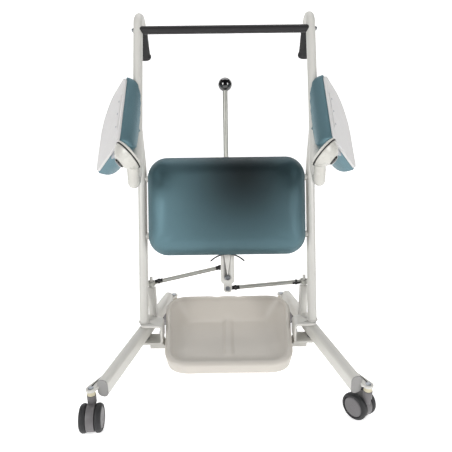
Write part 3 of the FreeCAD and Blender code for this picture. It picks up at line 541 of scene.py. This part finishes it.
def blown_up(work, start, held, cap):
    """Run the cloth with pressure, and cap how far each vertex may go from where it began."""
    group = work.vertex_groups.new(name="held")
    group.add([int(index) for index in np.nonzero(held)[0]], 1.0, "REPLACE")
    cloth = work.modifiers.new("Cloth", "CLOTH")
    cloth.settings.use_pressure = True
    cloth.settings.uniform_pressure_force = 4.0
    cloth.settings.effector_weights.gravity = 0.0
    cloth.settings.mass = 0.4
    cloth.settings.tension_stiffness = 12.0
    cloth.settings.compression_stiffness = 12.0
    cloth.settings.bending_stiffness = 1.0
    cloth.settings.vertex_group_mass = "held"
    cloth.collision_settings.use_collision = False
    cloth.point_cache.frame_start = 1
    cloth.point_cache.frame_end = CLOTH_FRAMES
    for number in range(1, CLOTH_FRAMES + 1):
        bpy.context.scene.frame_set(number)
    graph = bpy.context.evaluated_depsgraph_get()
    shape = work.evaluated_get(graph).to_mesh()
    points = np.array([v.co for v in shape.vertices])
    work.evaluated_get(graph).to_mesh_clear()
    work.modifiers.remove(cloth)
    bpy.context.scene.frame_set(1)
    step = points - start
    length = np.linalg.norm(step, axis=1)
    share = np.minimum(1.0, cap / np.maximum(length, 1e-9))
    return start + step * share[:, None]


def kept_clear(mesh, obstacles, gap):
    """Press a soft mesh off the hard parts that it rests against."""
    trees = []
    for node in obstacles:
        builder = bmesh.new()
        builder.from_mesh(frame["nodes"][node].data)
        trees.append(BVHTree.FromBMesh(builder))
        builder.free()
    for vertex in mesh.vertices:
        for tree in trees:
            near, normal, _, distance = tree.find_nearest(vertex.co, PRESS_REACH)
            if near is None:
                continue
            depth = (vertex.co - near).dot(normal)
            if depth < gap and distance < PRESS_DEPTH:
                vertex.co += normal * (gap - depth)
    mesh.update()


def finished_cushion(name, mesh, body, node):
    cushion = piece_from_mesh(name, mesh, body, "teal_vinyl")
    smooth = cushion.modifiers.new("Fine", "SUBSURF")
    smooth.levels = 1
    smooth.render_levels = 1
    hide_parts(node)
    return cushion


MAST_FRONT = Vector(JOINTS["lever_swing"]["axis"])
PAD_ACROSS = Vector((1, 0, 0))
board_low, board_high = box_in("knee_pad_cushion", frame_from(Vector((0, 0, 0)), MAST_FRONT, PAD_ACROSS))
PAD_FRAME = frame_from(MAST_FRONT * board_low.z, MAST_FRONT, PAD_ACROSS)
knee_mesh = cloth_cushion("knee_pad_cushion", PAD_FRAME, back_height=0.004, cap=0.006, shrink=0.005,
                          rounding=8, corners=(0.066, 0.066, 0.066, 0.066), crown=0.020, under=0.0)
knee_pad = finished_cushion("knee_pad", knee_mesh, "chassis", "knee_pad_cushion")
# The knee pad's vinyl has painted shade, darkest at a point near the pad's top and fading out over 0.36 m.
painted_shade_centre = PAD_FRAME @ Vector((0.055, board_high.y - 0.060, board_high.z - board_low.z))
paint(knee_pad, painted_shade_vinyl("painted_shade_vinyl", (0.108, 0.198, 0.230), painted_shade_centre, 0.36))


def seat_swing():
    """The matrix between the right seat half as it lies closed and as it stands open."""
    joint = JOINTS["seat_right_swing"]
    axis = Vector(joint["axis"])
    origin = Vector(joint["pos_m"])
    swing = math.radians(joint["range_deg"][1])
    return Matrix.Translation(origin) @ Matrix.Rotation(-swing, 4, axis) @ Matrix.Translation(-origin)


def seat_growth(mesh):
    """A matrix that brings the cover out to about the plate's edge, and thicker than its bare block."""
    points = np.array([v.co for v in mesh.vertices])
    middle = (points.min(0) + points.max(0)) / 2
    size = points.max(0) - points.min(0)
    grown = (size + np.array([SEAT_GROWTH, SEAT_GROWTH, 0.0])) / size
    scale = Matrix.Diagonal((grown[0], grown[1], SEAT_PLUMPNESS, 1))
    centre = Vector((middle[0], middle[1], 0))
    return Matrix.Translation(centre) @ scale @ Matrix.Translation(-centre)


SEAT_OPEN = seat_swing()
seat_low = box_in("seat_cushion_right", SEAT_OPEN)[0]
SEAT_FRAME = SEAT_OPEN @ Matrix.Translation((0, 0, seat_low.z))
seat_mesh = cloth_cushion("seat_cushion_right", SEAT_FRAME, back_height=0.0015, cap=0.012, shrink=-0.002,
                          rounding=14, corners=(0.110, 0.026, 0.026, 0.026), crown=0.040, under=0.014)
seat_mesh.transform(SEAT_FRAME.inverted())
seat_mesh.transform(seat_growth(seat_mesh))
seat_mesh.transform(SEAT_FRAME)
kept_clear(seat_mesh, ["upper_tube_right", "mast_right", "hinge_flange_right"], 0.0015)
mirror_mesh = seat_mesh.copy()
mirror_mesh.transform(Matrix.Scale(-1, 4, (1, 0, 0)))
finished_cushion("seat_pad_right", seat_mesh, "seat_right", "seat_cushion_right")
finished_cushion("seat_pad_left", mirror_mesh, "seat_left", "seat_cushion_left")


# ---------------------------------------------------------------- foot tray


def rounded_outline(half_near, half_far, near, far, radius, count):
    """Points round a four sided outline with round corners, starting at the middle of the near side."""
    right = [Vector((half_near, near)), Vector((half_far, far))]
    corners = right + [Vector((-half_far, far)), Vector((-half_near, near))]
    straight = []
    for index, corner in enumerate(corners):
        before = corners[index - 1]
        after = corners[(index + 1) % 4]
        toward = (corner - before).normalized()
        away = (after - corner).normalized()
        half_turn = toward.angle(away) / 2
        reach = radius * math.tan(half_turn)
        straight.append((corner - toward * reach, corner, corner + away * reach))
    per_side = count // 9
    points = []
    previous = Vector((0, near))
    for first, corner, last in straight:
        for step in range(per_side):
            points.append(previous.lerp(first, step / per_side))
        for step in range(per_side):
            points.append(curve(first, corner, last, step / per_side))
        previous = last
    for step in range(per_side):
        points.append(previous.lerp(Vector((0, near)), step / per_side))
    return points


def make_tray():
    """A moulded foot tray: rolled rim that rises to the toes, sloping walls, flat floor with a round rib."""
    pivot_y = JOINTS["leg_right_spread"]["pos_m"][1]
    near = pivot_y - 0.180
    far = pivot_y + 0.178
    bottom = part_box("foot_tray")[0].z
    floor = 0.080
    top = 0.170
    lip_drop = 0.0085
    lip_rise = 0.0088
    rib_half = 0.0145
    rib_height = 0.0070
    rim_near = 0.101
    rim_far = 0.155
    count = 324
    low_out = rounded_outline(0.194, 0.188, near + 0.006, far - 0.038, 0.072, count)
    high_out = rounded_outline(0.213, 0.238, near - 0.004, far + 0.012, 0.094, count)
    low_in = rounded_outline(0.158, 0.152, near + 0.070, far - 0.052, 0.040, count)

    def rim_height(x, y):
        """The rim rises from the heels to the toes, and dips a little beside the rib at the toes."""
        share = min(max((y - near) / (far - near), 0.0), 1.0)
        dip = math.exp(-((abs(x) - 0.040) / 0.013) ** 2)
        return rim_near + (rim_far - rim_near) * share - 0.0025 * dip * max(0.0, share - 0.8) / 0.2

    def at_rim(lower, upper, floor_height, drop):
        """Where a drafted wall between two outlines meets the sloping rim."""
        ring = []
        for first, last in zip(lower, upper):
            share = 0.5
            for _ in range(6):
                point = first.lerp(last, share)
                height = rim_height(point.x, point.y) - drop
                share = (height - floor_height) / (top - floor_height)
            ring.append(Vector((point.x, point.y, height)))
        return ring

    def flat(points, height):
        return [Vector((p.x, p.y, height)) for p in points]

    def bend(first, corner, last, reach_first, reach_last, steps):
        """Rings that turn a corner softly between two straight walls."""
        rings = []
        for step in range(steps + 1):
            ring = []
            for a, b, c in zip(first, corner, last):
                start = b + (a - b).normalized() * reach_first
                stop = b + (c - b).normalized() * reach_last
                ring.append(curve(start, b, stop, step / steps))
            rings.append(ring)
        return rings

    def between(first, last, steps):
        """Rings strictly between two rings."""
        return [[a.lerp(b, step / steps) for a, b in zip(first, last)] for step in range(1, steps)]

    middle = Vector((0, (near + far) / 2, 0))
    base_inner = [p.lerp(Vector((0, middle.y, bottom)), 0.25) for p in flat(low_out, bottom)]
    foot = flat(low_out, bottom)
    lip_out = at_rim(low_out, high_out, bottom, lip_drop)
    lip_plan = rounded_outline(0.177, 0.208, near + 0.024, far - 0.016, 0.062, count)
    lip_in = [Vector((p.x, p.y, rim_height(p.x, p.y) - lip_drop)) for p in lip_plan]
    floor_edge = flat(low_in, floor)
    floor_inner = [p.lerp(Vector((0, middle.y + 0.009, floor)), 0.30) for p in floor_edge]

    rings = [base_inner]
    rings += bend(base_inner, foot, lip_out, 0.014, 0.012, 7)
    rings += between(rings[-1], lip_out, 6)
    lip_steps = 16
    for step in range(lip_steps + 1):
        angle = math.pi * step / lip_steps
        across = (1 - math.cos(angle)) / 2
        rise = Vector((0, 0, lip_rise * math.sin(angle)))
        rings.append([a.lerp(b, across) + rise for a, b in zip(lip_out, lip_in)])
    first_inside = len(rings) - 1
    corner_rings = bend(lip_in, floor_edge, floor_inner, 0.024, 0.020, 10)
    rings += between(rings[-1], corner_rings[0], 8)
    rings += corner_rings
    edge_of_floor = corner_rings[-1]
    centre = Vector((0, middle.y + 0.009, floor))
    floor_steps = 34
    for step in range(1, floor_steps):
        rings.append([p.lerp(centre, step / floor_steps) for p in edge_of_floor])

    points = np.array([point for ring in rings for point in ring])
    x, y = points[:, 0], points[:, 1]
    inside = np.arange(len(points)) >= first_inside * count
    rib = np.exp(-(x / rib_half) ** 4)
    near_end = 1 / (1 + np.exp(-(y - (near + 0.084)) / 0.004))
    far_end = 1 / (1 + np.exp((y - (far - 0.046)) / 0.006))
    lift = rib_height * rib * near_end * far_end
    points[:, 2] += np.where(inside, lift, 0)
    beside = 1 / (1 + np.exp((np.abs(y - pivot_y) - 0.047) / 0.003))
    web_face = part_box("leg_bracket_right")[0].x - 0.0006
    spare = np.maximum(np.abs(x) - web_face, 0)
    points[:, 0] -= np.sign(x) * spare * beside
    return piece("tray_shell", points, skinned(len(rings), count), "chassis", "tray_plastic")


tray_shell = make_tray()
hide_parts("foot_tray")


# ---------------------------------------------------------------- casters


CASTERS = [f"{end}_{side}" for end in ("rear", "front") for side in ("right", "left")]


def make_caster(name):
    """Tyres with round shoulders and hubs with a stepped face, in place of the plain turned ones."""
    joint = JOINTS[f"wheel_{name}_spin"]
    centre = Vector(joint["pos_m"])
    axle = Vector(joint["axis"])
    space = frame_from(centre, axle, Vector((0, 0, 1)))
    high = box_in(f"caster_tyres_{name}", space)[1]
    tread = high.x
    far = high.z
    near = 0.0122
    hub = 0.0300
    profile = eased([(hub - 0.002, near + 0.001), (hub, near), (tread - 0.003, near), (tread, near + 0.004),
                     (tread, far - 0.006), (tread - 0.004, far - 0.001), (hub + 0.003, far),
                     (hub + 0.0005, far - 0.0006), (hub, far - 0.004), (hub - 0.002, far - 0.005)], 0.004)
    disc = eased([(0.0, near + 0.001), (hub - 0.0012, near + 0.001), (hub - 0.0008, far - 0.003),
                  (hub - 0.002, far - 0.0012), (hub - 0.006, far - 0.0008), (0.010, far - 0.0008),
                  (0.0088, far - 0.0014), (0.0075, far - 0.0009), (0.0, far - 0.0007)], 0.0015)
    tyres = []
    axle_end = near + 0.002
    axle_bar = lathe([(0.0, -axle_end), (0.004, -axle_end), (0.004, axle_end), (0.0, axle_end)], 24)
    hubs = [moved(axle_bar, space)]
    for side in (1, -1):
        flip = space @ Matrix.Rotation(0 if side == 1 else math.pi, 4, "X")
        tyres.append(moved(lathe(profile, 72), flip))
        hubs.append(moved(lathe(disc, 64), flip))
    body = f"wheel_{name}"
    tyre = piece(f"tyres_{name}", *joined(*tyres), body, "tyre")
    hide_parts(f"caster_tyres_{name}")
    wheel = piece(f"hubs_{name}", *joined(*hubs), body, "caster_grey")
    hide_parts(f"caster_hubs_{name}")
    softened(f"caster_hood_{name}", 0.0012)


for caster_name in CASTERS:
    make_caster(caster_name)


# ---------------------------------------------------------------- hardware


SOFT_EDGES = {
    "leg_bracket": 0.0012,
    "link_post": 0.0015,
    "caster_bars": 0.0012,
    "seat_plate": 0.0022,
    "hinge_flange": 0.0006,
    "seat_bracket": 0.0008,
}
for node_name, edge_width in SOFT_EDGES.items():
    for side_name in SIDES:
        softened(f"{node_name}_{side_name}", edge_width)
for node_name, edge_width in {"lever_bracket": 0.0008, "lever_tab": 0.0008, "knee_pad_board": 0.001}.items():
    softened(node_name, edge_width)


def screw_shape(radius, height):
    """A pan head with a hexagon socket."""
    socket = radius * 0.45
    head = eased([(0.0, height * 0.35), (socket, height * 0.35), (socket, height * 0.95),
                  (radius * 0.75, height), (radius, height * 0.45), (radius, -0.0005), (0.0, -0.0005)],
                 height * 0.3)
    return lathe(head, 24)


def make_seat_screws():
    """Three small screws beside the slot in each seat plate's underside."""
    low, high = box_in("seat_plate_right", SEAT_OPEN)
    front = high.y - 0.034
    shapes = []
    for x in (0.085, 0.132, 0.180):
        spot = SEAT_OPEN @ Matrix.Translation((x, front, low.z)) @ Matrix.Rotation(math.pi, 4, "X")
        shapes.append(moved(screw_shape(0.0032, 0.0014), spot))
    verts, faces = joined(*shapes)
    piece("seat_screws_right", verts, faces, "seat_right", "zinc")
    other = [Vector((-v.x, v.y, v.z)) for v in verts]
    piece("seat_screws_left", other, faces, "seat_left", "zinc")


make_seat_screws()


HOUSING_VOXEL = 0.0016
HOUSING_ROUNDS = 16
DOME_BASE = 0.004       # height over the seam where the dome starts to stretch
DOME_TOP = 0.034
DOME_STRETCH = 1.16


def hinge_space(side):
    """A frame on a seat hinge's axis, with Z outward from the seam."""
    joint = JOINTS[f"seat_{side}_swing"]
    axis = Vector(joint["axis"])
    if axis.z > 0:
        axis = -axis
    return frame_from(Vector(joint["pos_m"]), axis, Vector((0, 1, 0)))


def make_hinge_housing(side):
    """The dome and the elbow below it as one smooth moulding, with a domed cap over the pin."""
    sign = SIDES[side]
    space = hinge_space(side)
    builder = bmesh.new()
    builder.from_mesh(frame["nodes"][f"hinge_dome_{side}"].data)
    to_space = space.inverted()
    for vertex in builder.verts:
        local = to_space @ vertex.co
        if local.z > DOME_BASE:
            local.z = DOME_BASE + (local.z - DOME_BASE) * DOME_STRETCH
            vertex.co = space @ local
    elbow = bmesh.new()
    elbow.from_mesh(frame["nodes"]["elbow_covers"].data)
    other = [v for v in elbow.verts if v.co.x * sign < 0]
    bmesh.ops.delete(elbow, geom=other, context="VERTS")
    elbow_mesh = bpy.data.meshes.new("elbow")
    elbow.to_mesh(elbow_mesh)
    elbow.free()
    builder.from_mesh(elbow_mesh)
    mesh = bpy.data.meshes.new(f"housing_{side}")
    builder.to_mesh(mesh)
    builder.free()
    work = remeshed(mesh, HOUSING_VOXEL)
    mesh = work.data
    points = np.array([v.co for v in mesh.vertices])
    nothing_held = np.zeros(len(points), bool)
    write_points(mesh, smoothed(points, edge_table(mesh), HOUSING_ROUNDS, nothing_held))
    bpy.data.objects.remove(work)
    housing = piece_from_mesh(f"hinge_housing_{side}", mesh, "chassis", "white_plastic")
    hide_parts(f"hinge_dome_{side}", "elbow_covers")

    top = DOME_BASE + (DOME_TOP - DOME_BASE) * DOME_STRETCH
    radius = 0.0165
    profile = eased([(0.0, 0.0052), (radius * 0.6, 0.0044), (radius, 0.0008), (radius, -0.005),
                     (0.0, -0.005)], 0.003)
    tilt = Matrix.Rotation(math.radians(10), 4, "Y")
    seat = space @ Matrix.Translation((0, 0, top - 0.0015)) @ tilt
    verts, faces = moved(lathe(profile, 48), seat)
    cap = piece(f"hinge_cap_{side}", verts, faces, "chassis", "black_gloss")
    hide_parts("hinge_caps")


for side_name in SIDES:
    make_hinge_housing(side_name)


def rounded_section(width, height, radius, steps=8):
    """Points round a rectangle with round corners, centred on zero."""
    points = []
    for quarter, (sx, sy) in enumerate(((1, 1), (-1, 1), (-1, -1), (1, -1))):
        centre = Vector((sx * (width / 2 - radius), sy * (height / 2 - radius)))
        for step in range(steps + 1):
            angle = math.pi / 2 * (quarter + step / steps)
            points.append(centre + Vector((math.cos(angle), math.sin(angle))) * radius)
    return points


def make_leg_caps(side):
    """Grey caps pressed into both open ends of a leg tube."""
    sign = SIDES[side]
    joint = JOINTS[f"leg_{side}_spread"]
    pivot = Vector(joint["pos_m"])
    node = f"leg_{side}"
    points = node_points(node)
    rear = points[points[:, 1] < points[:, 1].min() + 0.02]
    rear_middle = Vector((np.median(rear[:, 0]), np.median(rear[:, 1]), 0))
    forward = Vector((pivot.x - rear_middle.x, pivot.y - rear_middle.y, 0)).normalized()
    across = Vector((forward.y, -forward.x, 0)) * sign
    space = frame_from(Vector((pivot.x, pivot.y, 0)), forward, across)
    low, high = box_in(node, space)
    width = high.x - low.x
    height = high.y - low.y
    middle = Vector(((low.x + high.x) / 2, (low.y + high.y) / 2, 0))
    shapes = []
    for end, outward in ((low.z, -1), (high.z, 1)):
        outline = rounded_section(width, height, 0.014)
        verts = []
        rows = [(1.0, -0.0002), (1.0, 0.0012), (0.965, 0.0022), (0.90, 0.0024), (0.86, 0.0018),
                (0.80, 0.0016)]
        for share, out in rows:
            for point in outline:
                verts.append(space @ Vector((middle.x + point.x * share, middle.y + point.y * share,
                                             end + outward * out)))
        shapes.append((verts, skinned(len(rows), len(outline))))
    verts, faces = joined(*shapes)
    piece(f"leg_caps_{side}", verts, faces, f"leg_{side}", "caster_grey", CAP_GREY)


for side_name in SIDES:
    make_leg_caps(side_name)


def make_stem_spacers(side):
    """Cream plastic bearings between each caster's neck and its bar."""
    shapes = []
    for end in ("rear", "front"):
        axis = Vector(JOINTS[f"swivel_{end}_{side}_turn"]["pos_m"])
        profile = eased([(0.004, 0.0986), (0.0118, 0.0986), (0.0118, 0.1030), (0.0104, 0.1050),
                         (0.0104, 0.1108), (0.004, 0.1108)], 0.0008)
        shapes.append(moved(lathe(profile, 40), Matrix.Translation((axis.x, axis.y, 0))))
    verts, faces = joined(*shapes)
    piece(f"stem_bearings_{side}", verts, faces, f"leg_{side}", "white_plastic", CREAM)


for side_name in SIDES:
    make_stem_spacers(side_name)


def make_rod_ends(side):
    """Dark threaded ends with jam nuts on a tie rod."""
    joint = JOINTS[f"tie_rod_{side}_pivot"]
    inner = Vector(joint["pos_m"])
    points = node_points(f"tie_rod_{side}")
    reach = np.abs(points[:, 0]).max()
    far = points[np.abs(points[:, 0]) > reach - 0.027]
    outer = Vector((far.min(0) + far.max(0)) / 2)
    space = frame_from(inner, outer - inner, Vector((0, 0, 1)))
    length = (outer - inner).length
    nut = 0.0088
    thread = 0.0071
    shapes = []
    for start, direction in ((0.0, 1), (length, -1)):
        rows = [(0.005, 0.014), (thread, 0.014), (thread, 0.023), (nut, 0.0235), (nut, 0.030),
                (thread, 0.0305), (thread, 0.040), (0.005, 0.040)]
        profile = [(radius, start + direction * along) for radius, along in rows]
        shapes.append(moved(lathe(profile, 24), space))
    verts, faces = joined(*shapes)
    piece(f"rod_ends_{side}", verts, faces, f"tie_rod_{side}", "black_rubber", BLACK_OXIDE)


for side_name in SIDES:
    make_rod_ends(side_name)


def make_welds():
    """A rippled weld bead round each mast's foot."""
    shapes = []
    mast = node_points("mast_right")
    plate_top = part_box("leg_bracket_right")[1].z
    ring = mast[np.abs(mast[:, 2] - mast[:, 2].min()) < 0.012]
    across = (ring[:, 0].min() + ring[:, 0].max()) / 2
    along = (ring[:, 1].min() + ring[:, 1].max()) / 2
    for sign in SIDES.values():
        middle = Vector((sign * across, along, plate_top + 0.001))
        path = []
        for step in range(72):
            angle = 2 * math.pi * step / 72
            ripple = 0.0003 * math.sin(angle * 31)
            out = Vector((math.cos(angle) * (0.0158 + ripple), math.sin(angle) * (0.0166 + ripple), 0))
            path.append(middle + out)
        shapes.append(closed_tube(path, 0.0026, 10))
    verts, faces = joined(*shapes)
    piece("mast_welds", verts, faces, "chassis", "frame_paint")


make_welds()


# ---------------------------------------------------------------- stage, lights and camera


def make_stage():
    """A pale floor that curves up into a backdrop behind the object."""
    profile = [(-7.0, 0.0), (3.2, 0.0)]
    for step in range(1, 13):
        angle = math.pi / 2 * step / 12
        profile.append((3.2 + 1.4 * math.sin(angle), 1.4 * (1 - math.cos(angle))))
    profile.append((4.6, 6.0))
    verts = []
    faces = []
    for y, z in profile:
        verts.append((-8.0, y, z))
        verts.append((8.0, y, z))
    for index in range(len(profile) - 1):
        faces.append((2 * index, 2 * index + 1, 2 * index + 3, 2 * index + 2))
    mesh = bpy.data.meshes.new("studio_floor")
    mesh.from_pydata(verts, [], faces)
    for polygon in mesh.polygons:
        polygon.use_smooth = True
    floor = bpy.data.objects.new("studio_floor", mesh)
    bpy.context.scene.collection.objects.link(floor)
    shader = Shader("studio_floor")
    shader.colours(shader.noise(0.6), (0.93, 0.93, 0.93), (0.95, 0.95, 0.95))
    shader.set(Roughness=0.9, Specular_IOR_Level=0.1, Emission_Color=(1, 1, 1, 1), Emission_Strength=0.62)
    paint(floor, shader.material)


def area_light(name, location, target, size, power, colour=(1, 1, 1)):
    lamp = bpy.data.lights.new(name, "AREA")
    lamp.shape = "RECTANGLE"
    lamp.size, lamp.size_y = size
    lamp.energy = power
    lamp.color = colour
    item = bpy.data.objects.new(name, lamp)
    item.location = location
    item.rotation_euler = (Vector(target) - Vector(location)).to_track_quat("-Z", "Y").to_euler()
    bpy.context.scene.collection.objects.link(item)


make_stage()
area_light("key_left", (-2.2, -2.4, 1.9), (0, 0, 0.5), (1.2, 1.8), 72)
area_light("fill_right", (2.4, -2.2, 1.7), (0, 0, 0.5), (1.2, 1.8), 58)
area_light("top_back", (0.0, 1.2, 3.4), (0, 0, 0.4), (3.0, 1.6), 40)


def make_world():
    """A white room that is dark on the patient's side, high up, where the studio behind the eye is unlit."""
    world = bpy.data.worlds.new("studio")
    world.use_nodes = True
    tree = world.node_tree
    background = tree.nodes["Background"]
    place = tree.nodes.new("ShaderNodeTexCoord")
    axes = tree.nodes.new("ShaderNodeSeparateXYZ")
    ramp = tree.nodes.new("ShaderNodeMapRange")
    ramp.interpolation_type = "SMOOTHSTEP"
    for key, value in (("From Min", -0.95), ("From Max", 0.1), ("To Min", 0.04), ("To Max", 0.62)):
        ramp.inputs[key].default_value = value
    tree.links.new(place.outputs["Generated"], axes.inputs["Vector"])
    tree.links.new(axes.outputs["Y"], ramp.inputs["Value"])
    tree.links.new(ramp.outputs["Result"], background.inputs["Strength"])
    bpy.context.scene.world = world
    bpy.context.scene.view_settings.view_transform = "Standard"


make_world()


def make_camera():
    """The eye stands a metre and a half behind the patient's place, a little higher than the hinges."""
    pitch = math.radians(18.806)
    yaw = math.radians(0.239)
    roll = math.radians(-0.698)
    forward = Vector((math.sin(yaw) * math.cos(pitch), math.cos(yaw) * math.cos(pitch), -math.sin(pitch)))
    level = Vector((math.cos(yaw), -math.sin(yaw), 0))
    up = level.cross(forward)
    right = level * math.cos(roll) + up * math.sin(roll)
    above = up * math.cos(roll) - level * math.sin(roll)
    camera = bpy.data.objects.new("camera", bpy.data.cameras.new("camera"))
    camera.data.sensor_width = 36.0
    camera.data.lens = 39.96
    camera.data.clip_start = 0.05
    rotation = Matrix((right, above, -forward)).transposed()
    camera.matrix_world = Matrix.Translation((-0.0099, -1.5013, 0.9888)) @ rotation.to_4x4()
    bpy.context.scene.collection.objects.link(camera)
    bpy.context.scene.camera = camera


make_camera()
